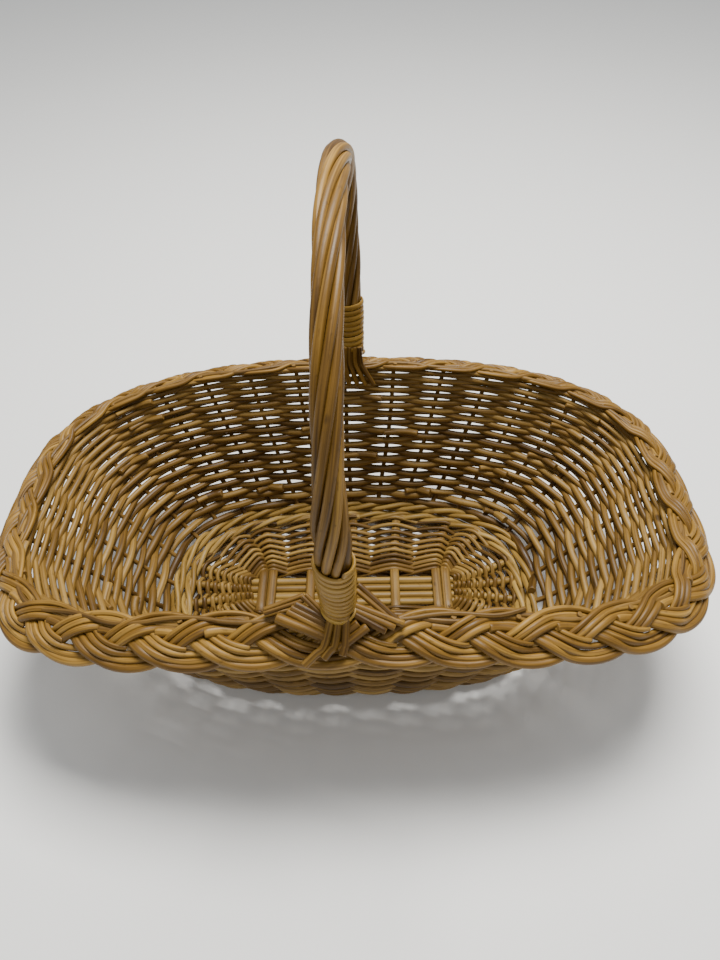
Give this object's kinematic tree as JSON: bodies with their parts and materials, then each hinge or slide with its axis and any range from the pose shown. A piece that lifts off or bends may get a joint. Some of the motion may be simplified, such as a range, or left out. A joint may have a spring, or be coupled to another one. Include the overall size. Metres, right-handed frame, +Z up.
{
  "type": "woven market basket",
  "caption": "Oval woven willow basket with flared sides, a plaited border and one fixed roped bow handle across the middle, for carrying shopping or flowers.",
  "frame": {"origin": "middle of the footprint, on the surface that the basket stands on", "axes": "+Z up, +X along the basket, +Y across it in the direction of the handle's span"},
  "size_m": [0.4838, 0.2738, 0.3533],
  "materials": {
    "base_sticks": "satin buff willow",
    "base_weave": "satin buff willow",
    "pale_wale": "satin buff willow",
    "stakes": "satin buff willow",
    "siding": "satin buff willow",
    "border": "satin buff willow",
    "handle": "satin buff willow",
    "binding": "satin buff willow"
  },
  "bodies": {
    "root": {"base_long_stick_1": "base_sticks", "base_long_stick_2": "base_sticks", "base_long_stick_3": "base_sticks", "base_long_stick_4": "base_sticks", "base_cross_stick_1": "base_sticks", "base_cross_stick_2": "base_sticks", "base_cross_stick_3": "base_sticks", "base_cross_stick_4": "base_sticks", "base_cross_stick_5": "base_sticks", "base_cross_stick_6": "base_sticks", "base_cross_stick_7": "base_sticks", "base_weave_inner": "base_weave", "base_weave_outer": "base_weave", "base_edge_wale": "pale_wale", "stakes_front": "stakes", "stakes_back": "stakes", "stakes_left": "stakes", "stakes_right": "stakes", "siding_lower": "siding", "siding_middle": "siding", "siding_upper": "siding", "border_strand_inner": "border", "border_strand_middle": "border", "border_strand_outer": "border", "handle_core": "handle", "handle_rod_1": "handle", "handle_rod_2": "handle", "handle_rod_3": "handle", "handle_rod_4": "handle", "handle_rod_5": "handle", "handle_rod_6": "handle", "handle_rod_7": "handle", "handle_binding_front": "binding", "handle_tails_front_outside": "handle", "handle_tails_front_inside": "handle", "handle_binding_back": "binding", "handle_tails_back_outside": "handle", "handle_tails_back_inside": "handle"}
  },
  "joints": []
}
